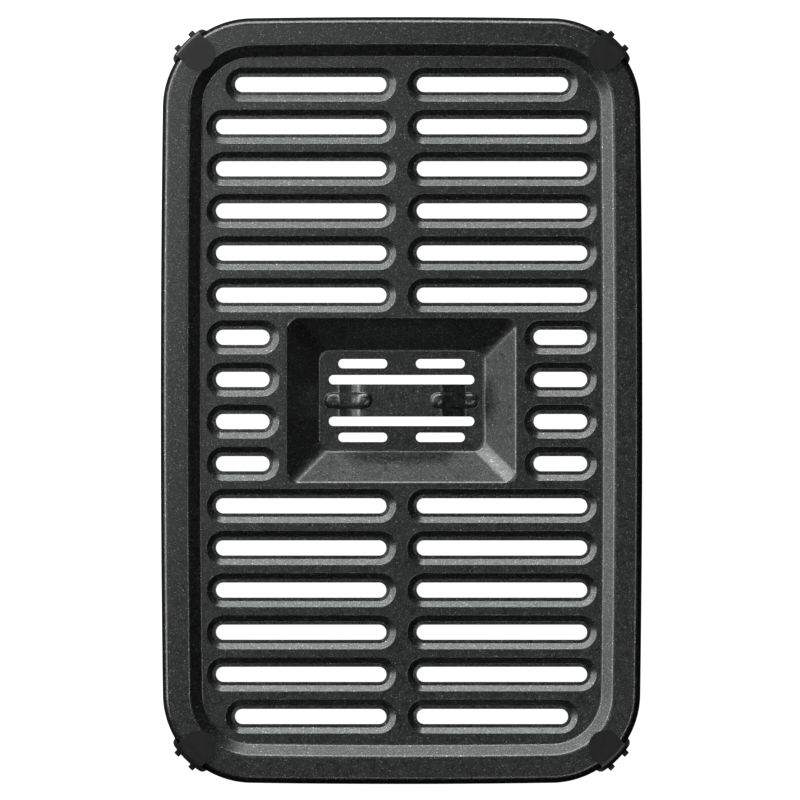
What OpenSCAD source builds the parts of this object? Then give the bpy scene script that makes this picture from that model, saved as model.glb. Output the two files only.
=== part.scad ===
// Slotted crisper plate for a drawer-style cooking basket: one pressed steel sheet on four rubber corner bumpers.
// X runs across the short side, Y along the long side, Z up from the resting surface.

/* [Plate] */
// width over the skirt
plate_width = 157; // [133:1:186]
// length over the skirt
plate_length = 250; // [212:1:300]
// height of the rim's top above the resting surface
rim_height = 16.5; // [15.5:0.5:20]
// thickness of the pressed sheet
sheet = 1; // [0.8:0.1:1.2]
// plan radius of the four corners, at the foot of the skirt
corner_radius = 31; // [27:0.5:36]

/* [Rim and step] */
// height of the skirt's foot above the resting surface
skirt_clearance = 1.2; // [0.8:0.1:1.8]
// outward lean of the skirt, in degrees
skirt_flare = 2.7; // [1:0.1:4]
// outside radius of the bend between skirt and rim
skirt_bend = 1.8; // [1.5:0.1:2.4]
// plan width of the rim, from the skirt's foot to the step
rim_width = 8.6; // [7.4:0.1:10.2]
// drop from the rim down to the cooking panel
step_drop = 3.5; // [2.8:0.1:4.2]
// slope of the step, in degrees
step_slope = 45; // [38:1:52]
// radius of the step's upper bend, on the top surface
step_upper_bend = 2; // [1.6:0.1:2.4]
// radius of the step's lower bend, on the top surface
step_lower_bend = 1.2; // [1:0.1:1.4]

/* [Slots] */
// wanted distance between rows of slots
slot_pitch = 13.7; // [12:0.1:16.4]
// width of each slot opening
slot_width = 4.9; // [4:0.1:5.9]
// distance from the skirt's foot to the first row's centre line
end_margin = 22.2; // [21:0.1:24]
// solid spine left between the two columns of slots
spine_width = 9.9; // [8.2:0.1:11.9]
// flat ledge round each opening, at the bottom of its recess
ledge_width = 1.15; // [0.9:0.05:1.4]
// plan width of the recess wall
recess_run = 1.95; // [1.6:0.05:2.3]
// depth of the recess round each slot
recess_depth = 1.6; // [1.2:0.1:1.9]
// plain metal between the recesses and any edge beside them
recess_land = 1.4; // [1:0.1:1.8]

/* [Finger well] */
// size of the well's mouth across the plate
well_width = 74.5; // [68:0.5:80]
// size of the well's mouth along the plate
well_length = 53.5; // [50:0.5:55]
// depth of the well below the panel
well_depth = 10; // [8.4:0.2:10.4]
// plan width of the well's sloped walls
well_run = 10.25; // [9:0.25:11]
// width of the slots in the well's floor
well_slot_width = 3.05; // [2.6:0.05:3.4]

/* [Grip bridge] */
// width of the raised strip
bridge_width = 10.5; // [9:0.1:11]
// rise of the strip above the well's floor
bridge_rise = 7.5; // [6.3:0.1:8.6]
// distance from the centre to the foot of the ramp
bridge_foot = 20.1; // [19.5:0.1:20.5]
// distance from the centre to the crest of the ramp
bridge_crest = 13.7; // [12.8:0.1:14.4]
// radius of the crest bend, on the top surface
crest_bend = 4; // [3.4:0.1:4.6]
// radius of the foot bend, on the top surface
foot_bend = 1; // [0.8:0.1:1.2]
// width of the stiffening bead pressed into each ramp
bead_width = 4.6; // [3.9:0.1:5.2]
// height of the bead above the strip
bead_rise = 1.5; // [1.2:0.1:1.8]

/* [Corner bumpers] */
// width of the tongue that lies on the rim
tongue_width = 10.5; // [9.5:0.1:12]
// length of the tongue, from the bumper's outer face to its tip
tongue_length = 11.3; // [10:0.1:12]
// thickness of the tongue
tongue_thickness = 1.3; // [1.1:0.1:1.6]
// width of the bumper's outer wall, ear to ear
ear_span = 14.6; // [13.6:0.1:16]
// how far the outer wall stands beyond the skirt
bumper_proud = 1.25; // [1.1:0.05:1.5]
// drop from the rim's top down to the top of the ears
ear_drop = 0.9; // [0.6:0.1:1.5]
// plan radius of the ears
ear_radius = 2; // [1.7:0.1:2.3]
// width of the post that passes through the notch in the skirt
post_width = 8.5; // [7.5:0.1:9]
// distance between the two upright ribs
rib_spacing = 6.4; // [5.6:0.1:7.4]
// width of each rib
rib_width = 2.05; // [1.7:0.05:2.4]

/* [Hidden] */
// running clearance between the rubber and the edges of the notch
notch_clearance = 0.25;
// clearance between the bumper's curved wall and the skirt
wall_clearance = 0.3;
// margin that cutting tools run past the faces they cut
overrun = 1;
// plain metal between the end recesses and the panel's rounded corners
corner_land = 1.5 * recess_land;
// floor of the well left beyond the ends of its long slots
long_slot_margin = 3.3;
// floor of the well left beyond the outer ends of its short slots
short_slot_margin = 6.4;
// floor of the well kept plain along its sloped walls
floor_land = 0.8;
// how far each bead runs past the crest and past the foot of its ramp
bead_past_crest = 4.2;
bead_past_foot = 4.6;

skirt_angle = 90 - skirt_flare;
skirt_run = (rim_height - skirt_clearance - skirt_bend * (1 - cos(skirt_angle))) / sin(skirt_angle);
rim_start = skirt_run * cos(skirt_angle) + skirt_bend * sin(skirt_angle);
step_bends = step_upper_bend + step_lower_bend;
step_run = (step_drop - step_bends * (1 - cos(step_slope))) / sin(step_slope);
step_lip = 0.4;
panel_inset = round((rim_width + step_bends * sin(step_slope) + step_run * cos(step_slope) + step_lip / 2) * 100) / 100;
panel_top = rim_height - step_drop;
panel_half_width = plate_width / 2 - panel_inset;
panel_half_length = plate_length / 2 - panel_inset;
panel_radius = corner_radius - panel_inset;
corner_x = plate_width / 2 - corner_radius;
corner_y = plate_length / 2 - corner_radius;

// skirt, rim and step, followed along the outer surface: [straight length, turn in degrees, radius of the turn]
rim_path = [
  [skirt_run, -skirt_angle, skirt_bend],
  [rim_start < rim_width ? rim_width - rim_start : 0, -step_slope, step_upper_bend],
  [step_run, step_slope, step_lower_bend],
  [step_lip, 0, 0]
];

slot_half = slot_width / 2;
ledge_half = slot_half + ledge_width;
recess_half = ledge_half + recess_run;
recess_shift = press_shift(recess_run, recess_depth);
rows_per_half = round((plate_length / 2 - end_margin) / slot_pitch + 0.5);
row_pitch = (plate_length / 2 - end_margin) / (rows_per_half - 0.5);
row_inner = spine_width / 2;
recess_reach = recess_half - slot_half;
row_outer = panel_half_width - recess_land - recess_reach;

well_half_x = well_width / 2;
well_half_y = well_length / 2;
well_shift = press_shift(well_run, well_depth);
well_floor = panel_top - well_depth;
floor_half_x = well_half_x - well_run;
floor_half_y = well_half_y - well_run;
// slots beside the well start clear of the bend at its mouth
well_row_inner = well_half_x + 2 * recess_land + recess_reach;
long_slot_y = (bridge_width + well_slot_width) / 2;
long_slot_half = floor_half_x - long_slot_margin;
short_slot_y = (long_slot_y + well_slot_width / 2 + floor_half_y - floor_land) / 2;
short_slot_half_width = min(well_slot_width, floor_half_y - long_slot_y - well_slot_width) / 2;

ramp_angle = atan(bridge_rise / (bridge_foot - bridge_crest));
crest_tangent = crest_bend * tan(ramp_angle / 2);
foot_tangent = foot_bend * tan(ramp_angle / 2);
ramp_run = (bridge_foot - bridge_crest) / cos(ramp_angle) - crest_tangent - foot_tangent;
// half of the bridge, followed along the top surface from its middle to the well's floor
bridge_path = [
  [bridge_crest - crest_tangent, -ramp_angle, crest_bend],
  [ramp_run, ramp_angle, foot_bend],
  [long_slot_half - bridge_foot + overrun, 0, 0]
];
bead_inner = bridge_crest - bead_past_crest;
bead_outer = bridge_foot + bead_past_foot;

outer_radius = corner_radius + bumper_proud;
skirt_top_radius = corner_radius - skirt_run * cos(skirt_angle);
ear_top = rim_height - ear_drop;
tongue_top = rim_height + tongue_thickness;
notch_edge = corner_radius - rim_start - notch_clearance;
block_inner = corner_radius - rim_width + overrun;
ear_angle = asin((ear_span / 2 - ear_radius) / (outer_radius - ear_radius));
rib_radius = rib_width / 2;

coating = [0.2, 0.21, 0.21];
silicone = [0.05, 0.05, 0.05];

// sideways shift between the two faces of a pressed wall, measured where it leaves the flat
function press_shift(run, drop) = sheet * (sqrt(run * run + drop * drop) - run) / drop;

// ---- sheet sections ----

function ahead(heading) = [cos(heading), sin(heading)];
function leftward(heading) = [-sin(heading), cos(heading)];
function to_micron(p) = [round(p[0] * 1000) / 1000, round(p[1] * 1000) / 1000];
function backwards(points) = [for (i = [len(points) - 1 : -1 : 0]) points[i]];

// points along one turn, kept a fixed distance to the left of the path; a turn tighter than that is one point
function turn_points(centre, heading, turn, reach) =
  reach > 0
    ? [for (k = [0 : ceil(abs(turn) / 15)])
        centre - sign(turn) * reach * leftward(heading + turn * k / ceil(abs(turn) / 15))]
    : [centre - sign(turn) * reach / cos(turn / 2) * leftward(heading + turn / 2)];

// line kept a fixed distance to the left of a path of straight runs and tangent turns
function trace(path, offset, at, heading, i = 0) =
  let (
    run = path[i][0],
    turn = path[i][1],
    radius = path[i][2],
    bend_start = at + run * ahead(heading),
    centre = bend_start + sign(turn) * radius * leftward(heading),
    bend_end = centre - sign(turn) * radius * leftward(heading + turn)
  )
  concat(
    i == 0 ? [at + offset * leftward(heading)] : [],
    turn == 0 ? [] : turn_points(centre, heading, turn, radius - sign(turn) * offset),
    i + 1 < len(path)
      ? trace(path, offset, bend_end, heading + turn, i + 1)
      : [bend_end + offset * leftward(heading + turn)]
  );

// closed outline of the sheet between two offsets from its top surface
function sheet_outline(path, low, high, at, heading) =
  [for (p = concat(trace(path, high, at, heading), backwards(trace(path, low, at, heading)))) to_micron(p)];

// the rim's section, with the skirt's foot at the origin and the panel towards +X
rim_outline = sheet_outline(rim_path, -sheet, 0, [0, 0], skirt_angle);

module rounded_rectangle(half_x, half_y, radius) {
  square([2 * half_x, 2 * (half_y - radius)], center = true);
  square([2 * (half_x - radius), 2 * half_y], center = true);
  for (x = [-1, 1], y = [-1, 1])
    translate([x * (half_x - radius), y * (half_y - radius)])
      circle(r = radius, $fn = 72);
}

// ---- plate ----

module straight_rim(length, half_span) {
  translate([-half_span, length / 2, skirt_clearance])
    rotate([90, 0, 0])
      linear_extrude(length)
        polygon(rim_outline);
}

module corner_rim() {
  translate([0, 0, skirt_clearance])
    rotate_extrude(angle = 90, $fn = 48)
      polygon([for (p = rim_outline) [corner_radius - p[0], p[1]]]);
}

module rim_ring() {
  for (turn = [0, 180])
    rotate(turn) {
      straight_rim(2 * corner_y, plate_width / 2);
      translate([corner_x, corner_y, 0])
        corner_rim();
      translate([-corner_x, corner_y, 0])
        rotate(90)
          corner_rim();
    }
  for (turn = [90, 270])
    rotate(turn)
      straight_rim(2 * corner_x, plate_length / 2);
}

// tub with half-round ends and sloped walls, from z = 0 up
module tub(inner, outer, low_half, high_half, height) {
  for (end = [[outer, -90], [inner, 90]])
    translate([end[0], 0, 0])
      rotate(end[1])
        rotate_extrude(angle = 180, $fn = 20)
          polygon([[0, 0], [low_half, 0], [high_half, height], [0, height]]);
  translate([inner, 0, 0])
    rotate([90, 0, 90])
      linear_extrude(outer - inner)
        polygon([[-low_half, 0], [low_half, 0], [high_half, height], [-high_half, height]]);
}

function row_y(row) = (row + 0.5) * row_pitch;
// rows level with the well are kept outside it
function row_start(row) = row_y(row) - recess_half < well_half_y + recess_land / 2 ? well_row_inner : row_inner;
// how far out a recess can reach before it meets the rounded corner of the panel
function corner_limit(row) =
  row_y(row) > panel_half_length - panel_radius
    ? panel_half_width - panel_radius
      + sqrt(max(0, pow(panel_radius - recess_half - corner_land, 2)
        - pow(row_y(row) - panel_half_length + panel_radius, 2))) + slot_half
    : row_outer;
function row_end(row) = min(row_outer, corner_limit(row));
// a row's slots are made where they come out longer than they are wide
function row_fits(row) = row_end(row) - row_start(row) > slot_width;

// one copy of its child for every slot: [inner end centre, outer end centre] is passed in $ends
module each_slot() {
  for (row = [0 : rows_per_half - 1])
    if (row_fits(row))
      for (y = [-1, 1], side = [0, 180])
        rotate(side)
          translate([0, y * row_y(row), 0]) {
            $ends = [row_start(row) + slot_half, row_end(row) - slot_half];
            children();
          }
}

module slot_outline(inner, outer, half) {
  translate([inner, -half])
    square([outer - inner, 2 * half]);
  for (x = [inner, outer])
    translate([x, 0])
      circle(r = half, $fn = 20);
}

// sloped box: half sizes at the bottom, growing by the run over its height
module sloped_box(half_x, half_y, run, height) {
  intersection() {
    rotate([90, 0, 0])
      linear_extrude(2 * (half_y + run), center = true)
        polygon([[-half_x, 0], [half_x, 0], [half_x + run, height], [-half_x - run, height]]);
    rotate([90, 0, 90])
      linear_extrude(2 * (half_x + run), center = true)
        polygon([[-half_y, 0], [half_y, 0], [half_y + run, height], [-half_y - run, height]]);
  }
}

// part of the grip bridge's section between two offsets from its top surface, both ramps
module bridge_section(low, high) {
  for (side = [0, 1])
    mirror([side, 0])
      polygon(sheet_outline(bridge_path, low, high, [0, 0], 0));
}

// bridge section as wide as asked, at its place above the well's floor
module bridge_strip(width, low, high) {
  translate([0, 0, well_floor + bridge_rise])
    rotate([90, 0, 0])
      linear_extrude(width, center = true)
        bridge_section(low, high);
}

// pill-shaped columns over the two ramps
module bead_columns(shrink) {
  for (side = [0, 180])
    rotate(side)
      linear_extrude(panel_top)
        slot_outline(bead_inner + bead_width / 2, bead_outer - bead_width / 2, bead_width / 2 - shrink);
}

module bridge() {
  difference() {
    union() {
      bridge_strip(bridge_width, -sheet, 0);
      intersection() {
        bridge_strip(bead_width + overrun, -sheet / 2, bead_rise);
        bead_columns(0);
      }
    }
    intersection() {
      bridge_strip(bead_width + overrun, -sheet - overrun, bead_rise - sheet);
      bead_columns(sheet);
    }
  }
}

module well_floor_slots() {
  for (y = [-1, 1])
    translate([0, y * long_slot_y])
      slot_outline(-long_slot_half + well_slot_width / 2, long_slot_half - well_slot_width / 2, well_slot_width / 2);
  for (y = [-1, 1], side = [0, 180])
    rotate(side)
      translate([0, y * short_slot_y])
        slot_outline(row_inner + short_slot_half_width, floor_half_x - short_slot_margin - short_slot_half_width,
          short_slot_half_width);
}

module notch() {
  translate([notch_edge, -post_width / 2 - notch_clearance, 0])
    cube([corner_radius, post_width + 2 * notch_clearance, rim_height + overrun]);
}

// places its child at every corner: local +X points out along the diagonal
module each_corner() {
  for (x = [-1, 1], y = [-1, 1])
    at_corner(x, y)
      children();
}

module at_corner(x, y) {
  translate([x * corner_x, y * corner_y, 0])
    rotate(x > 0 ? y * 45 : y * 135)
      children();
}

module plate() {
  color(coating) {
    difference() {
      union() {
        rim_ring();
        translate([0, 0, panel_top - sheet])
          linear_extrude(sheet)
            rounded_rectangle(panel_half_width, panel_half_length, panel_radius);
        each_slot()
          translate([0, 0, panel_top - sheet - recess_depth])
            tub($ends[0], $ends[1], ledge_half + recess_shift, recess_half + recess_shift, recess_depth);
        translate([0, 0, well_floor - sheet])
          sloped_box(floor_half_x + well_shift, floor_half_y + well_shift, well_run, well_depth);
      }
      each_slot()
        translate([0, 0, panel_top - recess_depth])
          tub($ends[0], $ends[1], ledge_half, recess_half, recess_depth);
      each_slot()
        translate([0, 0, panel_top - recess_depth - sheet - overrun])
          linear_extrude(recess_depth + sheet + 2 * overrun)
            slot_outline($ends[0], $ends[1], slot_half);
      translate([0, 0, well_floor])
        sloped_box(floor_half_x, floor_half_y, well_run, well_depth);
      translate([0, 0, well_floor - sheet - overrun])
        linear_extrude(sheet + 2 * overrun)
          well_floor_slots();
      translate([-long_slot_half, -bridge_width / 2, well_floor - sheet - overrun])
        cube([2 * long_slot_half, bridge_width, sheet + 2 * overrun]);
      each_corner()
        notch();
    }
    bridge();
  }
}

// ---- corner bumpers ----

// straight-sided area about the diagonal, closed outside by the bumper's outer face
module wedge_area(inner, width) {
  intersection() {
    translate([inner, -width / 2])
      square([outer_radius, width]);
    circle(r = outer_radius, $fn = 144);
  }
}

module ear_area() {
  difference() {
    union() {
      intersection() {
        circle(r = outer_radius, $fn = 144);
        polygon([
          [0, 0],
          2 * outer_radius * [cos(ear_angle), -sin(ear_angle)],
          2 * outer_radius * [cos(ear_angle), sin(ear_angle)]
        ]);
      }
      for (side = [-1, 1])
        rotate(side * ear_angle)
          translate([outer_radius - ear_radius, 0])
            circle(r = ear_radius, $fn = 36);
    }
    circle(r = notch_edge + overrun, $fn = 144);
  }
}

module bumper() {
  post_edge = notch_edge + notch_clearance;
  color(silicone) {
    // foot block under the rim, running out through the notch
    linear_extrude(rim_height - sheet)
      wedge_area(block_inner, post_width);
    // neck that fills the notch in the rim
    translate([0, 0, rim_height - sheet])
      linear_extrude(sheet)
        wedge_area(post_edge, post_width);
    // outer wall with its ears, clear of the leaning skirt
    difference() {
      linear_extrude(ear_top)
        ear_area();
      translate([0, 0, skirt_clearance])
        cylinder(r1 = corner_radius + wall_clearance, r2 = skirt_top_radius + wall_clearance,
          h = rim_height - skirt_clearance, $fn = 144);
      translate([0, 0, -overrun])
        cylinder(r = corner_radius + wall_clearance, h = skirt_clearance + overrun, $fn = 144);
    }
    // upper part of the wall, behind the tongue
    translate([0, 0, ear_top])
      linear_extrude(tongue_top - ear_top)
        difference() {
          wedge_area(post_edge, tongue_width);
          circle(r = skirt_top_radius + wall_clearance, $fn = 144);
        }
    // tongue lying on the rim
    translate([0, 0, rim_height])
      linear_extrude(tongue_thickness) {
        wedge_area(outer_radius - tongue_length + tongue_width / 2, tongue_width);
        translate([outer_radius - tongue_length + tongue_width / 2, 0])
          circle(r = tongue_width / 2, $fn = 48);
      }
    // upright ribs
    for (side = [-1, 1])
      translate([sqrt(pow(outer_radius, 2) - pow(rib_spacing / 2, 2)), side * rib_spacing / 2, skirt_clearance])
        cylinder(r = rib_radius, h = ear_top - skirt_clearance, $fn = 24);
  }
}

module front_left_bumper() {
  at_corner(-1, -1)
    bumper();
}

module front_right_bumper() {
  at_corner(1, -1)
    bumper();
}

module rear_left_bumper() {
  at_corner(-1, 1)
    bumper();
}

module rear_right_bumper() {
  at_corner(1, 1)
    bumper();
}

plate();
front_left_bumper();
front_right_bumper();
rear_left_bumper();
rear_right_bumper();
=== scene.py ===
import math

import bmesh
import bpy
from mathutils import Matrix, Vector


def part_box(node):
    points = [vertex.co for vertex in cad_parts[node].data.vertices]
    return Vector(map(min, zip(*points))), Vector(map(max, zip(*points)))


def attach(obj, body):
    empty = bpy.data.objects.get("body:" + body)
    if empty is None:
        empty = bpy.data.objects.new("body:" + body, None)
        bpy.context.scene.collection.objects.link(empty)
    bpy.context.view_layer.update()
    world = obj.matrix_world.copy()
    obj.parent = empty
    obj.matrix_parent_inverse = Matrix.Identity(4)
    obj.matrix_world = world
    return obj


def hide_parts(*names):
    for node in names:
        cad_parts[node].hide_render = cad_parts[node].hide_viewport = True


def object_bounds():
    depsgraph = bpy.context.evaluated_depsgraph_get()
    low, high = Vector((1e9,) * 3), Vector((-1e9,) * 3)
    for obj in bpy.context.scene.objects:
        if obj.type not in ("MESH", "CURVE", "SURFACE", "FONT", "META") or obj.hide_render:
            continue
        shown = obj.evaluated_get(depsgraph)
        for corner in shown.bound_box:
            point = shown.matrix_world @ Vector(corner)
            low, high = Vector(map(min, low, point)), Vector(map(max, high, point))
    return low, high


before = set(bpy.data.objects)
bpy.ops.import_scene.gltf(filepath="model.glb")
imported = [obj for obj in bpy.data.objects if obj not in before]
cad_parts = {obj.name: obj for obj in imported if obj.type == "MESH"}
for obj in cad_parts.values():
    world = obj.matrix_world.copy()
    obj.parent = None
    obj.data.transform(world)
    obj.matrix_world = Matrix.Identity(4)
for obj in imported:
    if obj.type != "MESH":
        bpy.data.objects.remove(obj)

cadLow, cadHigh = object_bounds()
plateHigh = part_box("plate")[1]
mm = 0.001
hair = 0.003 * mm  # points this close count as one place
near = 0.01 * mm
print("frame loaded, box in mm:", [round(v / mm, 2) for v in (*cadLow, *cadHigh)])

studio = {
    "cameraHeight": 10.0,
    "frameWidth": 260.3 * mm,
    "lookAt": (-0.51 * mm, 0.17 * mm),
    # softboxes: place, width, height, power
    "rearSoftbox": ((-0.18, 0.70, 0.36), 0.90, 0.44, 3.25),
    "leftSoftbox": ((-0.70, 0.20, 0.36), 0.84, 0.44, 2.3),
    "overhead": ((-0.20, 0.105, 0.55), 0.29, 0.32, 0.15),
    "frontStrip": ((0.34, -0.34, 1.10), 0.95, 0.12, 0.95),
    "roomGlow": 0.004,
    "filmWidth": 36.0,
    "farthest": 100.0,
    "floorSize": 6.0,
    "floorGap": 0.0002,
    "floorGlow": 1.0,
    "floorGrain": 60.0,
    "floorShades": (0.90, 0.94),
    "floorRoughness": 0.9,
}


def addStudio():
    scene = bpy.context.scene
    scene.view_settings.view_transform = "Standard"
    bpy.ops.object.camera_add(location=(*studio["lookAt"], studio["cameraHeight"]), rotation=(0, 0, 0))
    camera = bpy.context.object
    camera.name = "topCamera"
    camera.data.sensor_width = studio["filmWidth"]
    camera.data.lens = studio["filmWidth"] * (studio["cameraHeight"] - plateHigh.z) / studio["frameWidth"]
    camera.data.clip_end = studio["farthest"]
    scene.camera = camera

    bpy.ops.mesh.primitive_plane_add(size=studio["floorSize"], location=(0, 0, cadLow.z - studio["floorGap"]))
    floor = bpy.context.object
    floor.name = "paleFloor"
    floor.data.materials.append(makeFloorFinish())
    # the object takes its light from the softboxes, not from the floor
    floor.visible_glossy = False
    floor.visible_diffuse = False

    for name in ("rearSoftbox", "leftSoftbox", "overhead", "frontStrip"):
        place, width, height, power = studio[name]
        bpy.ops.object.light_add(type="AREA", location=place)
        light = bpy.context.object
        light.name = name
        light.data.shape = "RECTANGLE"
        light.data.size = width
        light.data.size_y = height
        light.data.energy = power
        light.rotation_euler = (-Vector(place)).to_track_quat("-Z", "Y").to_euler()

    world = bpy.data.worlds.new("softRoom")
    world.use_nodes = True
    world.node_tree.nodes["Background"].inputs["Color"].default_value = (1, 1, 1, 1)
    world.node_tree.nodes["Background"].inputs["Strength"].default_value = studio["roomGlow"]
    scene.world = world
    print("studio ready")


def newFinish(name):
    finish = bpy.data.materials.new(name)
    finish.use_nodes = True
    tree = finish.node_tree
    shader = tree.nodes["Principled BSDF"]
    return finish, tree, shader


def addNode(tree, kind, **settings):
    node = tree.nodes.new(kind)
    for key, value in settings.items():
        setattr(node, key, value)
    return node


def makeFloorFinish():
    finish, tree, shader = newFinish("paleFloorPaper")
    coords = addNode(tree, "ShaderNodeTexCoord")
    grain = addNode(tree, "ShaderNodeTexNoise")
    grain.inputs["Scale"].default_value = studio["floorGrain"]
    tint = addNode(tree, "ShaderNodeValToRGB")
    for element, shade in zip(tint.color_ramp.elements, studio["floorShades"]):
        element.color = (shade, shade, shade, 1)
    tree.links.new(coords.outputs["Object"], grain.inputs["Vector"])
    tree.links.new(grain.outputs["Fac"], tint.inputs["Fac"])
    tree.links.new(tint.outputs["Color"], shader.inputs["Base Color"])
    shader.inputs["Roughness"].default_value = studio["floorRoughness"]
    shader.inputs["Emission Color"].default_value = (1, 1, 1, 1)
    shader.inputs["Emission Strength"].default_value = studio["floorGlow"]
    return finish


def deselectAll():
    if bpy.context.mode != "OBJECT":
        bpy.ops.object.mode_set(mode="OBJECT")
    bpy.ops.object.select_all(action="DESELECT")


def activate(piece):
    deselectAll()
    piece.select_set(True)
    bpy.context.view_layer.objects.active = piece


def openPiece(piece, kind="VERT"):
    activate(piece)
    bpy.ops.object.mode_set(mode="EDIT")
    bpy.ops.mesh.select_mode(type=kind)
    bpy.ops.mesh.select_all(action="DESELECT")


def closePiece():
    bpy.ops.object.mode_set(mode="OBJECT")


def pick(piece, kind, test):
    # selects what the test likes, in the open piece, and tells how many
    mesh = bmesh.from_edit_mesh(piece.data)
    chosen = {"VERT": mesh.verts, "EDGE": mesh.edges, "FACE": mesh.faces}[kind]
    for part in chosen:
        part.select_set(bool(test(part)))
    mesh.select_flush_mode()
    bmesh.update_edit_mesh(piece.data)
    return sum(part.select for part in chosen)


def edgeAt(edge, test):
    return all(test(v.co) for v in edge.verts)


def settle(piece):
    # leaves the object at the origin, unturned and unscaled
    activate(piece)
    bpy.ops.object.transform_apply(location=True, rotation=True, scale=True)


def applyModifiers(piece):
    activate(piece)
    for modifier in list(piece.modifiers):
        bpy.ops.object.modifier_apply(modifier=modifier.name)


def copyPiece(piece, name):
    twin = piece.copy()
    twin.data = piece.data.copy()
    twin.name = name
    bpy.context.scene.collection.objects.link(twin)
    return twin


def joinPieces(main, others):
    activate(main)
    for other in others:
        other.select_set(True)
    bpy.ops.object.join()


def weld(piece):
    openPiece(piece)
    bpy.ops.mesh.select_all(action="SELECT")
    bpy.ops.mesh.remove_doubles(threshold=0.002 * mm)
    closePiece()


def turnOver(piece):
    openPiece(piece)
    bpy.ops.mesh.select_all(action="SELECT")
    bpy.ops.mesh.flip_normals()
    closePiece()


def evenNormals(piece):
    openPiece(piece)
    bpy.ops.mesh.select_all(action="SELECT")
    bpy.ops.mesh.normals_make_consistent(inside=False)
    closePiece()


def removePiece(piece):
    bpy.data.objects.remove(piece)


def sheetLine(path, heading=0.0, widest=11.0):
    # points along straight runs joined by tangent turns: (run, turn in degrees, radius of the turn)
    # no step of a turn is wider than the widest, in degrees
    x, z, points = 0.0, 0.0, [(0.0, 0.0)]
    for run, turn, radius in path:
        x += run * math.cos(heading)
        z += run * math.sin(heading)
        if run > 1e-9:
            points.append((x, z))
        if turn:
            side = math.copysign(1.0, turn)
            steps = math.ceil(abs(turn) / widest)
            centreX, centreZ = x - side * radius * math.sin(heading), z + side * radius * math.cos(heading)
            for k in range(1, steps + 1):
                angle = heading + math.radians(turn) * k / steps
                reach = side * radius
                points.append((centreX + reach * math.sin(angle), centreZ - reach * math.cos(angle)))
            x, z = points[-1]
            heading += math.radians(turn)
    return points


def drawOutline(name, start, moves, z, mirrorX=False):
    # edge line drawn point by point, mirrored across the middle and closed with one face
    bpy.ops.mesh.primitive_plane_add(size=1 * mm, location=(start[0], start[1], z))
    piece = bpy.context.object
    piece.name = name
    settle(piece)
    openPiece(piece)
    bpy.ops.mesh.select_all(action="SELECT")
    bpy.ops.mesh.merge(type="CENTER")
    bpy.ops.mesh.select_all(action="SELECT")
    for move in moves:
        if move[0] == "turn":
            centre, angle, steps = move[1:]
            bpy.ops.mesh.spin(steps=steps, angle=angle, center=(centre[0], centre[1], z), axis=(0, 0, -1))
        else:
            bpy.ops.mesh.extrude_region_move(TRANSFORM_OT_translate={"value": (move[1], move[2], 0)})
    closePiece()
    mirror = piece.modifiers.new("otherSide", "MIRROR")
    mirror.use_axis = (mirrorX, True, False)
    mirror.merge_threshold = 0.004 * mm
    applyModifiers(piece)
    openPiece(piece)
    bpy.ops.mesh.select_all(action="SELECT")
    bpy.ops.mesh.edge_face_add()
    closePiece()
    if piece.data.polygons[0].normal.z < 0:
        turnOver(piece)
    return piece


def raiseOutline(piece, height):
    # turns a flat outline into a closed block standing on it
    openPiece(piece, "FACE")
    bpy.ops.mesh.select_all(action="SELECT")
    bpy.ops.mesh.extrude_region_move(TRANSFORM_OT_translate={"value": (0, 0, height)})
    closePiece()
    evenNormals(piece)


def roundEdges(piece, test, size, segments):
    openPiece(piece, "EDGE")
    if pick(piece, "EDGE", test):
        bpy.ops.mesh.bevel(offset=size, segments=segments, affect="EDGES", clamp_overlap=True)
    closePiece()


def combine(main, other, operation):
    cut = main.modifiers.new("combine", "BOOLEAN")
    cut.operation = operation
    cut.solver = "EXACT"
    cut.object = other
    applyModifiers(main)
    removePiece(other)


def smoothPiece(piece, angle):
    activate(piece)
    bpy.ops.object.shade_smooth_by_angle(angle=math.radians(angle))
    even = piece.modifiers.new("evenShading", "WEIGHTED_NORMAL")
    even.keep_sharp = True
    applyModifiers(piece)


rim = {
    "longBow": 6730.0 * mm,
    "shortBow": 3130.0 * mm,
    "corner": 29.2 * mm,
    "sideSteps": 10,
    "cornerSteps": 30,
    "footGap": 1.2 * mm,
    "flare": 2.7,
    "skirtBend": 1.9 * mm,
    "width": 8.25 * mm,
    "drop": 3.5 * mm,
    "slope": 42.5,
    "upperBend": 2.0 * mm,
    "lowerBend": 1.3 * mm,
    "lip": 0.2 * mm,
}

recess = {
    "slotHalf": 2.45 * mm,
    "ledge": 1.15 * mm,
    "run": 1.95 * mm,
    "depth": 1.6 * mm,
    "upperBend": 0.65 * mm,
    "lowerBend": 0.45 * mm,
    "points": 40,
    "pitch": 13.715 * mm,
    "rows": 8,
    "inner": 4.95 * mm,
    "outer": 60.4 * mm,
    "endOuter": 54.2 * mm,
    "wellInner": 43.0 * mm,
    "wellRows": 2,
}

well = {
    "halfX": 37.25 * mm,
    "halfY": 26.75 * mm,
    "run": 10.25 * mm,
    "depth": 10.0 * mm,
    "flange": 1.25 * mm,
    "corner": 3.1 * mm,
    "cornerSteps": 8,
    "bend": 0.75 * mm,
    "bendSteps": 5,
    "slotHalf": 1.525 * mm,
    "longHalf": 23.7 * mm,
    "longY": 6.78 * mm,
    "shortInner": 4.65 * mm,
    "shortOuter": 20.6 * mm,
    "shortY": 12.0 * mm,
    "points": 24,
}

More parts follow.
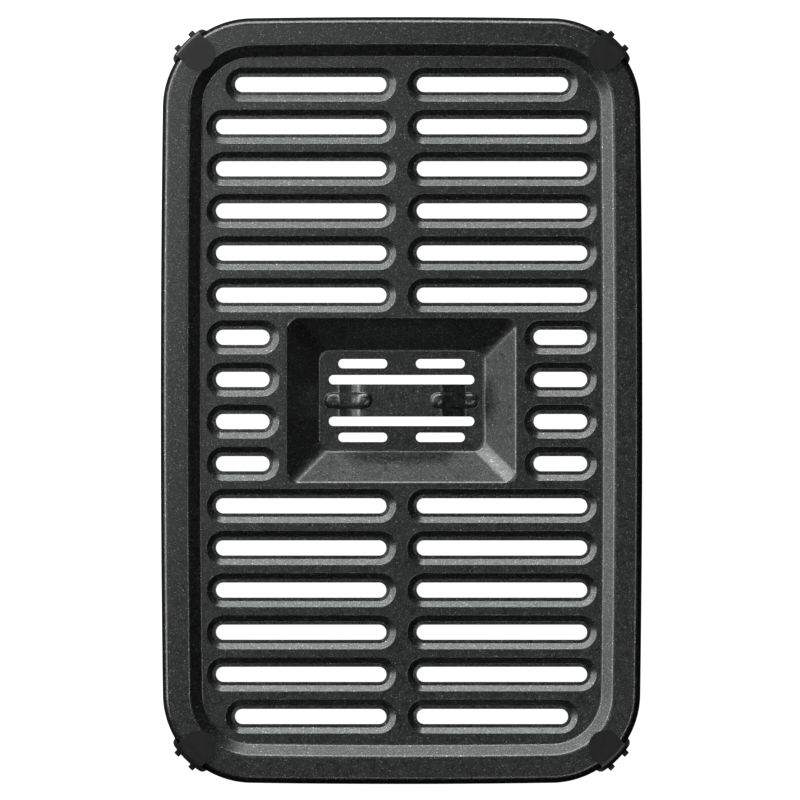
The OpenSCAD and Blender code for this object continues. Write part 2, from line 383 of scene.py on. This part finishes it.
bridge = {
    "rise": 7.5 * mm,
    "flatHalf": 11.9 * mm,
    "steep": 56.0,
    "ease": 18.0,
    "footBend": 1.9 * mm,
    "easeBend": 25.0 * mm,
    "crestBend": 4.0 * mm,
    "beadInner": 9.5 * mm,
    "beadOuter": 25.1 * mm,
    "beadHalf": 2.6 * mm,
    "beadRise": 1.35 * mm,
    "beadFoot": 0.16,
    "beadShoulder": 0.22,
    "beadRound": 0.75,
    "softenBy": 0.5,
    "softenTimes": 5,
    "end": 25.5 * mm,
    "cell": 0.25 * mm,
}

sheet = {
    "thick": 1.0 * mm,
    "cutEdge": 0.13 * mm,
    "cutSteps": 2,
    "sharpest": 50.0,
    "smooth": 55.0,
}
panelTop = plateHigh.z - rim["drop"]
wellFloor = panelTop - well["depth"]


def makeRim():
    halfX, halfY = plateHigh.x, plateHigh.y
    corner, longBow, shortBow = rim["corner"], rim["longBow"], rim["shortBow"]
    longCentre = Vector((halfX - longBow, 0, 0))
    shortCentre = Vector((0, halfY - shortBow, 0))
    # the corner's circle touches both bowed sides from inside
    cx, cy = halfX - corner, halfY - corner
    for _ in range(20):
        cx = longCentre.x + math.sqrt((longBow - corner) ** 2 - cy ** 2)
        cy = shortCentre.y + math.sqrt((shortBow - corner) ** 2 - cx ** 2)
    longAngle = math.atan2(cy, cx - longCentre.x)
    shortAngle = math.atan2(cx, cy - shortCentre.y)

    foot = rim["footGap"]
    moves = (
        ("turn", longCentre, longAngle, rim["sideSteps"]),
        ("turn", (cx, cy), math.pi / 2 - longAngle - shortAngle, rim["cornerSteps"]),
        ("turn", shortCentre, shortAngle, rim["sideSteps"] // 2),
    )
    piece = drawOutline("pressedPlate", (halfX, 0), moves, foot, mirrorX=True)

    heading = math.radians(90 - rim["flare"])
    bend = rim["skirtBend"]
    skirtRun = (plateHigh.z - foot - bend * (1 - math.cos(heading))) / math.sin(heading)
    rimStart = skirtRun * math.cos(heading) + bend * math.sin(heading)
    slope = math.radians(rim["slope"])
    bends = rim["upperBend"] + rim["lowerBend"]
    stepRun = (rim["drop"] - bends * (1 - math.cos(slope))) / math.sin(slope)
    path = (
        (skirtRun, rim["flare"] - 90, bend),
        (rim["width"] - rimStart, -rim["slope"], rim["upperBend"]),
        (stepRun, rim["slope"], rim["lowerBend"]),
        (rim["lip"], 0, 0),
    )
    line = sheetLine(path, heading)
    openPiece(piece, "FACE")
    bpy.ops.mesh.select_all(action="SELECT")
    for before, after in zip(line, line[1:]):
        bpy.ops.mesh.inset(thickness=after[0] - before[0], depth=after[1] - before[1], use_even_offset=True)
    bpy.ops.mesh.delete(type="ONLY_FACE")
    closePiece()
    print("rim: corner centre", round(cx / mm, 2), round(cy / mm, 2), "panel inset", round(line[-1][0] / mm, 2))
    return piece


def stretchedRings(name, rings, points, length, z):
    # round rings at (radius, drop), pulled out along X to a long slot
    bpy.ops.mesh.primitive_circle_add(vertices=points, radius=rings[0][0], location=(0, 0, z + rings[0][1]),
                                      rotation=(0, 0, math.pi / points))
    piece = bpy.context.object
    piece.name = name
    settle(piece)
    openPiece(piece)
    bpy.ops.mesh.select_all(action="SELECT")
    for before, after in zip(rings, rings[1:]):
        grow = after[0] / before[0]
        bpy.ops.mesh.extrude_region_move()
        bpy.ops.transform.resize(value=(grow, grow, 1), center_override=(0, 0, 0))
        bpy.ops.transform.translate(value=(0, 0, after[1] - before[1]))
    pick(piece, "VERT", lambda v: v.co.x > 0)
    bpy.ops.transform.translate(value=(length / 2, 0, 0))
    pick(piece, "VERT", lambda v: v.co.x < 0)
    bpy.ops.transform.translate(value=(-length / 2, 0, 0))
    closePiece()
    return piece


def recessRings():
    slope = math.atan2(recess["depth"], recess["run"])
    reach = math.tan(slope / 2)
    upper, lower = recess["upperBend"], recess["lowerBend"]
    wall = math.hypot(recess["run"], recess["depth"]) - (upper + lower) * reach
    path = ((0, -math.degrees(slope), upper), (wall, math.degrees(slope), lower))
    start = recess["slotHalf"] + recess["ledge"] + recess["run"] + upper * reach
    rings = [(start - x, z) for x, z in sheetLine(path)]
    return rings + [(recess["slotHalf"], -recess["depth"])]


def makeRecesses():
    rings = recessRings()
    half = recess["slotHalf"]
    masters = {}
    copies = []
    for row in range(recess["rows"]):
        inner = recess["wellInner"] if row < recess["wellRows"] else recess["inner"]
        outer = recess["endOuter"] if row == recess["rows"] - 1 else recess["outer"]
        if (inner, outer) not in masters:
            masters[inner, outer] = stretchedRings("recessMaster", rings, recess["points"],
                                                   outer - inner - 2 * half, panelTop)
        for sideX in (-1, 1):
            for sideY in (-1, 1):
                twin = copyPiece(masters[inner, outer], "recess")
                twin.location = (sideX * (inner + outer) / 2, sideY * (row + 0.5) * recess["pitch"], 0)
                settle(twin)
                copies.append(twin)
    for master in masters.values():
        removePiece(master)
    print("recesses:", len(copies))
    return copies


def makeWell():
    bpy.ops.mesh.primitive_plane_add(size=1, location=(0, 0, panelTop))
    piece = bpy.context.object
    piece.name = "fingerWell"
    piece.scale = (2 * (well["halfX"] + well["flange"]), 2 * (well["halfY"] + well["flange"]), 1)
    settle(piece)
    openPiece(piece, "FACE")
    bpy.ops.mesh.select_all(action="SELECT")
    bpy.ops.mesh.inset(thickness=well["flange"], depth=0, use_even_offset=True)
    bpy.ops.mesh.inset(thickness=well["run"], depth=-well["depth"], use_even_offset=True)
    bpy.ops.mesh.select_mode(type="EDGE")
    limitX, limitY = well["halfX"] + 0.1 * mm, well["halfY"] + 0.1 * mm
    pick(piece, "EDGE", lambda e: abs(e.verts[0].co.z - e.verts[1].co.z) > 1 * mm)
    bpy.ops.mesh.bevel(offset=well["corner"], segments=well["cornerSteps"], affect="EDGES")
    pick(piece, "EDGE", lambda e: edgeAt(e, lambda c: abs(c.x) < limitX and abs(c.y) < limitY)
         and abs(e.verts[0].co.z - e.verts[1].co.z) < near)
    bpy.ops.mesh.bevel(offset=well["bend"], segments=well["bendSteps"], affect="EDGES")
    bpy.ops.mesh.select_mode(type="FACE")
    pick(piece, "FACE", lambda f: f.normal.z > 0.999 and f.calc_center_median().z < wellFloor + near
         and f.calc_area() > 500 * mm * mm)
    bpy.ops.mesh.delete(type="ONLY_FACE")
    closePiece()
    print("finger well ready")
    return piece


def makeWellSlots():
    half = well["slotHalf"]
    shortLength = well["shortOuter"] - well["shortInner"] - 2 * half
    master = stretchedRings("shortSlot", [(half, 0)], well["points"], shortLength, wellFloor)
    slots = []
    for sideX in (-1, 1):
        for sideY in (-1, 1):
            twin = copyPiece(master, "shortSlot")
            twin.location = (sideX * (well["shortInner"] + well["shortOuter"]) / 2, sideY * well["shortY"], 0)
            settle(twin)
            slots.append(twin)
    removePiece(master)
    for side in (-1, 1):
        longSlot = stretchedRings("longSlot", [(half, 0)], well["points"], 2 * (well["longHalf"] - half), wellFloor)
        longSlot.location.y = side * well["longY"]
        settle(longSlot)
        # the side next to the bridge stays open for the strip
        openPiece(longSlot, "EDGE")
        pick(longSlot, "EDGE", lambda e: edgeAt(e, lambda c: abs(c.y) < well["longY"] - half * 0.9)
             and e.calc_length() > 10 * mm)
        bpy.ops.mesh.delete(type="EDGE")
        closePiece()
        slots.append(longSlot)
    return slots


def beadWeight(point):
    # height of the bead over the strip, from 0 to 1
    half = bridge["beadHalf"]
    x = abs(point.x)
    along = max(bridge["beadInner"] + half - x, x - bridge["beadOuter"] + half, 0)
    away = math.hypot(along, point.y) / half
    if away >= 1:
        return 0.0
    foot = min(1.0, (1 - away) / bridge["beadFoot"])
    shoulder = bridge["beadShoulder"]
    return shoulder * foot * foot * (3 - 2 * foot) + (1 - shoulder) * (1 - away * away) ** bridge["beadRound"]


def slotMeet():
    # where a long slot's round end meets the side of the strip
    step = math.pi / well["points"]
    half = well["slotHalf"]
    return well["longHalf"] - half + half * math.sin(step), well["longY"] - half * math.cos(step)


def makeBridge():
    endX, endY = slotMeet()
    # steep at the foot, easing into the crest
    steep, soft = math.radians(bridge["steep"]), math.radians(bridge["steep"] - bridge["ease"])
    footBend, easeBend, crestBend = bridge["footBend"], bridge["easeBend"], bridge["crestBend"]
    climbed = footBend * (1 - math.cos(steep)) + easeBend * (math.cos(soft) - math.cos(steep)) \
        + crestBend * (1 - math.cos(soft))
    straight = (bridge["rise"] - climbed) / math.sin(steep)
    reached = bridge["flatHalf"] + crestBend * math.sin(soft) + easeBend * (math.sin(steep) - math.sin(soft)) \
        + straight * math.cos(steep) + footBend * math.sin(steep)
    path = (
        (bridge["end"] - endX, 0, 0),
        (endX - reached, bridge["steep"], footBend),
        (straight, -bridge["ease"], easeBend),
        (0, bridge["ease"] - bridge["steep"], crestBend),
        (bridge["flatHalf"], 0, 0),
    )
    rough = sheetLine(path, widest=8.0)
    rough += [(2 * bridge["end"] - x, z) for x, z in reversed(rough[:-1])]
    line = [rough[0]]
    for before, after in zip(rough, rough[1:]):
        count = max(1, math.ceil(math.dist(before, after) / bridge["cell"]))
        for k in range(1, count + 1):
            line.append(tuple(a + (b - a) * k / count for a, b in zip(before, after)))

    bpy.ops.mesh.primitive_plane_add(size=1, location=(-bridge["end"] - 1 * mm, 0, wellFloor))
    piece = bpy.context.object
    piece.name = "gripBridge"
    piece.scale = (2 * mm, 2 * endY, 1)
    settle(piece)
    openPiece(piece)
    pick(piece, "VERT", lambda v: v.co.x < -bridge["end"] - 1 * mm)
    bpy.ops.mesh.delete(type="VERT")
    bpy.ops.mesh.select_all(action="SELECT")
    bpy.ops.mesh.subdivide(number_cuts=round(2 * endY / bridge["cell"]))
    bpy.ops.mesh.select_all(action="SELECT")
    for before, after in zip(line, line[1:]):
        bpy.ops.mesh.extrude_region_move(
            TRANSFORM_OT_translate={"value": (after[0] - before[0], 0, after[1] - before[1])})
    closePiece()
    evenNormals(piece)
    middle = min(piece.data.polygons, key=lambda f: f.center.length)
    if middle.normal.z < 0:
        turnOver(piece)
    print("grip bridge: faces", len(piece.data.polygons))
    return piece


def liftBeads(piece):
    group = piece.vertex_groups.new(name="beads")
    for vertex in piece.data.vertices:
        weight = beadWeight(vertex.co)
        if weight > 0 and vertex.co.z < panelTop - 1 * mm:
            group.add([vertex.index], weight, "REPLACE")
    lift = piece.modifiers.new("beadLift", "DISPLACE")
    lift.direction = "Z"
    lift.vertex_group = "beads"
    lift.strength = bridge["beadRise"]
    lift.mid_level = 0.0
    soften = piece.modifiers.new("beadSoften", "SMOOTH")
    soften.vertex_group = "beads"
    soften.factor = bridge["softenBy"]
    soften.iterations = bridge["softenTimes"]
    applyModifiers(piece)


def fillFlat(piece, z):
    openPiece(piece, "EDGE")
    count = pick(piece, "EDGE", lambda e: (e.is_boundary or e.is_wire) and edgeAt(e, lambda c: abs(c.z - z) < hair))
    bpy.ops.mesh.fill(use_beauty=True)
    closePiece()
    print("flat filled at", round(z / mm, 2), "from", count, "edges")


notch = {
    "cornerRadius": 31.0 * mm,
    "inner": 28.31 * mm,
    "outer": 60.0 * mm,
    "width": 9.0 * mm,
    "height": 40.0 * mm,
}


def cutNotches(piece):
    for x in (-1, 1):
        for y in (-1, 1):
            bpy.ops.mesh.primitive_cube_add(size=1)
            cutter = bpy.context.object
            cutter.scale = (notch["outer"] - notch["inner"], notch["width"], notch["height"])
            cutter.location = ((notch["outer"] + notch["inner"]) / 2, 0, 0)
            settle(cutter)
            placeAtCorner(cutter, x, y)
            combine(piece, cutter, "DIFFERENCE")


def placeAtCorner(piece, x, y):
    # local +X points out along the diagonal
    piece.rotation_euler.z = math.atan2(y, x)
    piece.location = (x * (plateHigh.x - notch["cornerRadius"]), y * (plateHigh.y - notch["cornerRadius"]), 0)
    settle(piece)


def makePlate():
    piece = makeRim()
    wellPiece = makeWell()
    strip = makeBridge()
    joinPieces(wellPiece, [*makeWellSlots(), strip])
    weld(wellPiece)
    # the strip's sides next to the long slots stay open
    openPiece(wellPiece, "EDGE")
    endX, endY = slotMeet()
    pick(wellPiece, "EDGE", lambda e: (e.is_boundary or e.is_wire)
         and edgeAt(e, lambda c: abs(c.z - wellFloor) < hair and abs(c.x) < well["halfX"] - well["run"] + 1 * mm)
         and not edgeAt(e, lambda c: abs(abs(c.y) - endY) < hair and abs(c.x) < endX + hair))
    bpy.ops.mesh.fill(use_beauty=True)
    closePiece()
    joinPieces(piece, [*makeRecesses(), wellPiece])
    weld(piece)
    fillFlat(piece, panelTop)
    evenNormals(piece)
    widest = max(piece.data.polygons, key=lambda f: f.area)
    if widest.normal.z < 0:
        turnOver(piece)
    liftBeads(piece)
    print("top skin: faces", len(piece.data.polygons))

    thickness = piece.modifiers.new("sheetThickness", "SOLIDIFY")
    thickness.thickness = sheet["thick"]
    thickness.offset = -1
    punched = piece.modifiers.new("punchedEdges", "BEVEL")
    punched.width = sheet["cutEdge"]
    punched.segments = sheet["cutSteps"]
    punched.limit_method = "ANGLE"
    punched.angle_limit = math.radians(sheet["sharpest"])
    applyModifiers(piece)
    cutNotches(piece)
    smoothPiece(piece, sheet["smooth"])
    piece.data.materials.clear()
    piece.data.materials.append(makeCoating())
    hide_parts("plate")
    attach(piece, "plate")
    print("plate ready: faces", len(piece.data.polygons))


coating = {
    "dark": (0.115, 0.122, 0.119),
    "light": (0.270, 0.284, 0.278),
    "ground": (2600, 3, 0.7),  # noise scale, detail, roughness
    "groundSpread": (0.36, 0.66),
    "fine": (0.52 * mm, 0.40, 0.36),  # cell, share of cells left empty, size in the cell
    "coarse": (1.5 * mm, 0.45, 0.16),
    "fleckFade": 0.55,
    "dimFleck": (0.62, 0.64, 0.63),
    "brightFleck": (0.95, 0.96, 0.95),
    "faintest": 0.35,
    "metal": 0.93,
    "fleckMetal": 0.5,
    "sheen": (500, 4),
    "sheenSpread": (0.3, 0.7),
    "gloss": 0.26,
    "matt": 0.36,
    "grain": (1400, 3),
    "grainHeight": 0.05 * mm,
    "bump": 0.2,
}


def makeCoating():
    finish, tree, shader = newFinish("flintCoating")
    coords = addNode(tree, "ShaderNodeTexCoord")

    def noise(scale, detail, rough=0.5):
        node = addNode(tree, "ShaderNodeTexNoise")
        node.inputs["Scale"].default_value = scale
        node.inputs["Detail"].default_value = detail
        node.inputs["Roughness"].default_value = rough
        tree.links.new(coords.outputs["Object"], node.inputs["Vector"])
        return node.outputs["Fac"]

    def ramp(value, stops):
        node = addNode(tree, "ShaderNodeValToRGB")
        for element, (place, shade) in zip(node.color_ramp.elements, stops):
            element.position = place
            element.color = (*shade, 1) if isinstance(shade, tuple) else (shade, shade, shade, 1)
        tree.links.new(value, node.inputs["Fac"])
        return node.outputs["Color"]

    def flecks(cell, empty, size):
        # one round fleck in some of the cells
        cells = addNode(tree, "ShaderNodeTexVoronoi")
        cells.inputs["Scale"].default_value = 1 / cell
        tree.links.new(coords.outputs["Object"], cells.inputs["Vector"])
        pickCell = addNode(tree, "ShaderNodeSeparateColor")
        tree.links.new(cells.outputs["Color"], pickCell.inputs["Color"])
        kept = ramp(pickCell.outputs["Red"], ((empty, 0.0), (empty + 0.02, 1.0)))
        near = ramp(cells.outputs["Distance"], ((size * coating["fleckFade"], 1.0), (size, 0.0)))
        both = addNode(tree, "ShaderNodeMath", operation="MULTIPLY")
        tree.links.new(kept, both.inputs[0])
        tree.links.new(near, both.inputs[1])
        vary = addNode(tree, "ShaderNodeMath", operation="MULTIPLY")
        tree.links.new(both.outputs[0], vary.inputs[0])
        tree.links.new(ramp(pickCell.outputs["Green"], ((0.0, coating["faintest"]), (1.0, 1.0))), vary.inputs[1])
        return vary.outputs[0]

    def mixIn(base, factor, shade):
        node = addNode(tree, "ShaderNodeMix", data_type="RGBA")
        tree.links.new(factor, node.inputs["Factor"])
        tree.links.new(base, node.inputs[6])
        node.inputs[7].default_value = (*shade, 1)
        return node.outputs[2]

    base = ramp(noise(*coating["ground"]), zip(coating["groundSpread"], (coating["dark"], coating["light"])))
    fine, coarse = flecks(*coating["fine"]), flecks(*coating["coarse"])
    base = mixIn(base, fine, coating["dimFleck"])
    base = mixIn(base, coarse, coating["brightFleck"])
    # flecks are less metallic than the ground
    anyFleck = addNode(tree, "ShaderNodeMath", operation="MAXIMUM")
    tree.links.new(fine, anyFleck.inputs[0])
    tree.links.new(coarse, anyFleck.inputs[1])
    metal = addNode(tree, "ShaderNodeMapRange")
    metal.inputs["To Min"].default_value = coating["metal"]
    metal.inputs["To Max"].default_value = coating["fleckMetal"]
    tree.links.new(anyFleck.outputs[0], metal.inputs["Value"])
    tree.links.new(metal.outputs["Result"], shader.inputs["Metallic"])
    tree.links.new(base, shader.inputs["Base Color"])
    uneven = ramp(noise(*coating["sheen"]), zip(coating["sheenSpread"], (coating["gloss"], coating["matt"])))
    tree.links.new(uneven, shader.inputs["Roughness"])
    bump = addNode(tree, "ShaderNodeBump")
    bump.inputs["Strength"].default_value = coating["bump"]
    bump.inputs["Distance"].default_value = coating["grainHeight"]
    tree.links.new(noise(*coating["grain"]), bump.inputs["Height"])
    tree.links.new(bump.outputs["Normal"], shader.inputs["Normal"])
    return finish


bumper = {
    "face": 32.25 * mm,
    "tip": 20.99 * mm,
    "tongueHalf": 5.25 * mm,
    "tongueUnder": 16.5 * mm,
    "tongueEdge": 0.38 * mm,
    "frontEdge": 1.2 * mm,
    "frontReach": 2.3 * mm,
    "frontSteps": 8,
    "earRadius": 2.0 * mm,
    "earHalf": 7.3 * mm,
    "earTop": 15.6 * mm,
    "earEdge": 0.35 * mm,
    "backRadius": 27.5 * mm,
    "skirtFoot": 31.3 * mm,
    "skirtTop": 30.65 * mm,
    "postHalf": 4.25 * mm,
    "blockInner": 23.4 * mm,
    "blockTop": 15.5 * mm,
    "neckInner": 28.56 * mm,
    "footEdge": 0.6 * mm,
    "ribOut": 33.35 * mm,
    "ribIn": 31.4 * mm,
    "ribHalf": 1.02 * mm,
    "ribSide": 3.2 * mm,
    "ribFoot": 1.2 * mm,
    "ribEdge": 0.3 * mm,
    "arcSteps": 10,
    "tipSteps": 20,
    "earSteps": 10,
    "edgeSteps": 4,
    "footSteps": 3,
    "roomPoints": 180,
    "postInset": 0.5 * mm,
    "upperInner": 31.0 * mm,
    "upperFoot": 14.6 * mm,
    "upperTop": 16.56 * mm,
    "neckFoot": 13.5 * mm,
    "neckTop": 16.57 * mm,
    "smooth": 32.0,
}


def makeBumperMaster():
    face, half = bumper["face"], bumper["tongueHalf"]
    tipX = bumper["tip"] + half
    top = cadHigh.z
    faceAngle = math.asin(half / face)
    faceX = face * math.cos(faceAngle)

    # tongue that lies on the rim, bending over the plate's edge
    moves = (
        ("turn", (0, 0), faceAngle, bumper["arcSteps"]),
        ("run", tipX - faceX, 0),
        ("turn", (tipX, 0), math.pi / 2, bumper["tipSteps"]),
    )
    tongue = drawOutline("bumperTongue", (face, 0), moves, bumper["tongueUnder"])
    raiseOutline(tongue, top - bumper["tongueUnder"])
    roundEdges(tongue, lambda e: edgeAt(e, lambda c: c.z > top - near and c.x > faceX - near),
               bumper["frontEdge"], bumper["frontSteps"])
    # the front bend reaches further in than it drops
    bend, stretch = bumper["frontEdge"], bumper["frontReach"] / bumper["frontEdge"] - 1
    openPiece(tongue)
    for k in range(1, bumper["frontSteps"] + 1):
        angle = math.pi / 2 * k / bumper["frontSteps"]
        ringZ = top - bend + bend * math.sin(angle)
        pick(tongue, "VERT", lambda v: abs(v.co.z - ringZ) < hair and v.co.x > (faceX + tipX) / 2)
        bpy.ops.transform.translate(value=(-stretch * bend * (1 - math.cos(angle)), 0, 0))
    closePiece()
    roundEdges(tongue, lambda e: edgeAt(e, lambda c: c.z > top - near) and len(e.link_faces) == 2
               and e.calc_face_angle(0) > 1.0, bumper["tongueEdge"], bumper["edgeSteps"])

    # outer wall behind the skirt, with its two ears
    earReach = face - bumper["earRadius"]
    earAngle = math.asin((bumper["earHalf"] - bumper["earRadius"]) / earReach)
    earCentre = (earReach * math.cos(earAngle), earReach * math.sin(earAngle))
    endPoint = (earCentre[0], earCentre[1] + bumper["earRadius"])
    moves = (
        ("turn", (0, 0), earAngle, bumper["arcSteps"]),
        ("turn", earCentre, math.pi / 2 - earAngle, bumper["earSteps"]),
        ("run", bumper["backRadius"] - endPoint[0], 0),
    )
    wall = drawOutline("bumperWall", (face, 0), moves, cadLow.z)
    raiseOutline(wall, bumper["earTop"] - cadLow.z)

    def outerCorner(e):
        # a corner edge that is not on the wall's plain back
        return e.calc_face_angle(0) > 1.0 and max(v.co.x for v in e.verts) > bumper["backRadius"] + 10 * near

    roundEdges(wall, lambda e: edgeAt(e, lambda c: c.z > bumper["earTop"] - near) and outerCorner(e),
               bumper["earEdge"], bumper["edgeSteps"])
    roundEdges(wall, lambda e: edgeAt(e, lambda c: c.z < cadLow.z + near) and outerCorner(e),
               bumper["footEdge"], bumper["footSteps"])
    bpy.ops.mesh.primitive_cone_add(vertices=bumper["roomPoints"],
                                    radius1=bumper["skirtFoot"], radius2=bumper["skirtTop"],
                                    depth=bumper["tongueUnder"] + 2 * mm,
                                    location=(0, 0, bumper["tongueUnder"] / 2), end_fill_type="NGON")
    skirtRoom = bpy.context.object
    settle(skirtRoom)
    combine(wall, skirtRoom, "DIFFERENCE")

    # upper wall that joins tongue and outer wall
    moves = (("turn", (0, 0), faceAngle, bumper["arcSteps"]), ("run", bumper["upperInner"] - faceX, 0))
    upper = drawOutline("bumperUpper", (face, 0), moves, bumper["upperFoot"])
    raiseOutline(upper, bumper["upperTop"] - bumper["upperFoot"])

    # foot block under the rim and its neck through the notch
    postHalf = bumper["postHalf"]
    inner = face - bumper["postInset"]
    postAngle = math.asin(postHalf / inner)
    moves = (("turn", (0, 0), postAngle, bumper["arcSteps"]),
             ("run", bumper["blockInner"] - inner * math.cos(postAngle), 0))
    foot = drawOutline("bumperFoot", (inner, 0), moves, cadLow.z)
    raiseOutline(foot, bumper["blockTop"] - cadLow.z)
    roundEdges(foot, lambda e: edgeAt(e, lambda c: c.x < bumper["blockInner"] + near
               or c.z < cadLow.z + near) and e.calc_face_angle(0) > 1.0, bumper["footEdge"], bumper["footSteps"])
    moves = (("turn", (0, 0), postAngle, bumper["arcSteps"]),
             ("run", bumper["neckInner"] - inner * math.cos(postAngle), 0))
    neck = drawOutline("bumperNeck", (inner, 0), moves, bumper["neckFoot"])
    raiseOutline(neck, bumper["neckTop"] - bumper["neckFoot"])

    parts = [wall, upper, foot, neck]
    for side in (-1, 1):
        bpy.ops.mesh.primitive_cube_add(size=1)
        rib = bpy.context.object
        rib.scale = (bumper["ribOut"] - bumper["ribIn"], 2 * bumper["ribHalf"],
                     bumper["earTop"] - bumper["ribFoot"])
        rib.location = ((bumper["ribOut"] + bumper["ribIn"]) / 2, side * bumper["ribSide"],
                        (bumper["earTop"] + bumper["ribFoot"]) / 2)
        settle(rib)
        roundEdges(rib, lambda e: max(v.co.x for v in e.verts) > bumper["ribOut"] - near
                   or edgeAt(e, lambda c: c.z > bumper["earTop"] - near), bumper["ribEdge"], bumper["footSteps"])
        parts.append(rib)
    for part in parts:
        combine(tongue, part, "UNION")
    smoothPiece(tongue, bumper["smooth"])
    print("bumper ready: faces", len(tongue.data.polygons))
    return tongue


def makeBumpers():
    master = makeBumperMaster()
    finish = makeSilicone()
    places = {"front_left": (-1, -1), "front_right": (1, -1), "rear_left": (-1, 1), "rear_right": (1, 1)}
    for corner, (x, y) in places.items():
        piece = copyPiece(master, corner + "_rubber")
        placeAtCorner(piece, x, y)
        piece.data.materials.clear()
        piece.data.materials.append(finish)
        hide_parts(corner + "_bumper")
        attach(piece, corner + "_bumper")
    removePiece(master)


silicone = {
    "dark": (0.024, 0.026, 0.025),
    "light": (0.032, 0.034, 0.033),
    "cloud": 350,
    "cloudDetail": 4,
    "cloudSpread": (0.3, 0.7),
    "gloss": 0.27,
    "matt": 0.36,
    "shine": 1.0,
    "grain": 6000,
    "grainHeight": 0.02 * mm,
    "bump": 0.12,
}


def makeSilicone():
    finish, tree, shader = newFinish("blackSilicone")
    coords = addNode(tree, "ShaderNodeTexCoord")
    cloud = addNode(tree, "ShaderNodeTexNoise")
    cloud.inputs["Scale"].default_value = silicone["cloud"]
    cloud.inputs["Detail"].default_value = silicone["cloudDetail"]
    tree.links.new(coords.outputs["Object"], cloud.inputs["Vector"])
    tint = addNode(tree, "ShaderNodeValToRGB")
    shades = (silicone["dark"], silicone["light"])
    for element, place, shade in zip(tint.color_ramp.elements, silicone["cloudSpread"], shades):
        element.position = place
        element.color = (*shade, 1)
    tree.links.new(cloud.outputs["Fac"], tint.inputs["Fac"])
    tree.links.new(tint.outputs["Color"], shader.inputs["Base Color"])
    satin = addNode(tree, "ShaderNodeMapRange")
    satin.inputs["To Min"].default_value = silicone["gloss"]
    satin.inputs["To Max"].default_value = silicone["matt"]
    tree.links.new(cloud.outputs["Fac"], satin.inputs["Value"])
    tree.links.new(satin.outputs["Result"], shader.inputs["Roughness"])
    shader.inputs["Specular IOR Level"].default_value = silicone["shine"]
    grain = addNode(tree, "ShaderNodeTexNoise")
    grain.inputs["Scale"].default_value = silicone["grain"]
    tree.links.new(coords.outputs["Object"], grain.inputs["Vector"])
    bump = addNode(tree, "ShaderNodeBump")
    bump.inputs["Strength"].default_value = silicone["bump"]
    bump.inputs["Distance"].default_value = silicone["grainHeight"]
    tree.links.new(grain.outputs["Fac"], bump.inputs["Height"])
    tree.links.new(bump.outputs["Normal"], shader.inputs["Normal"])
    return finish


addStudio()
makePlate()
makeBumpers()
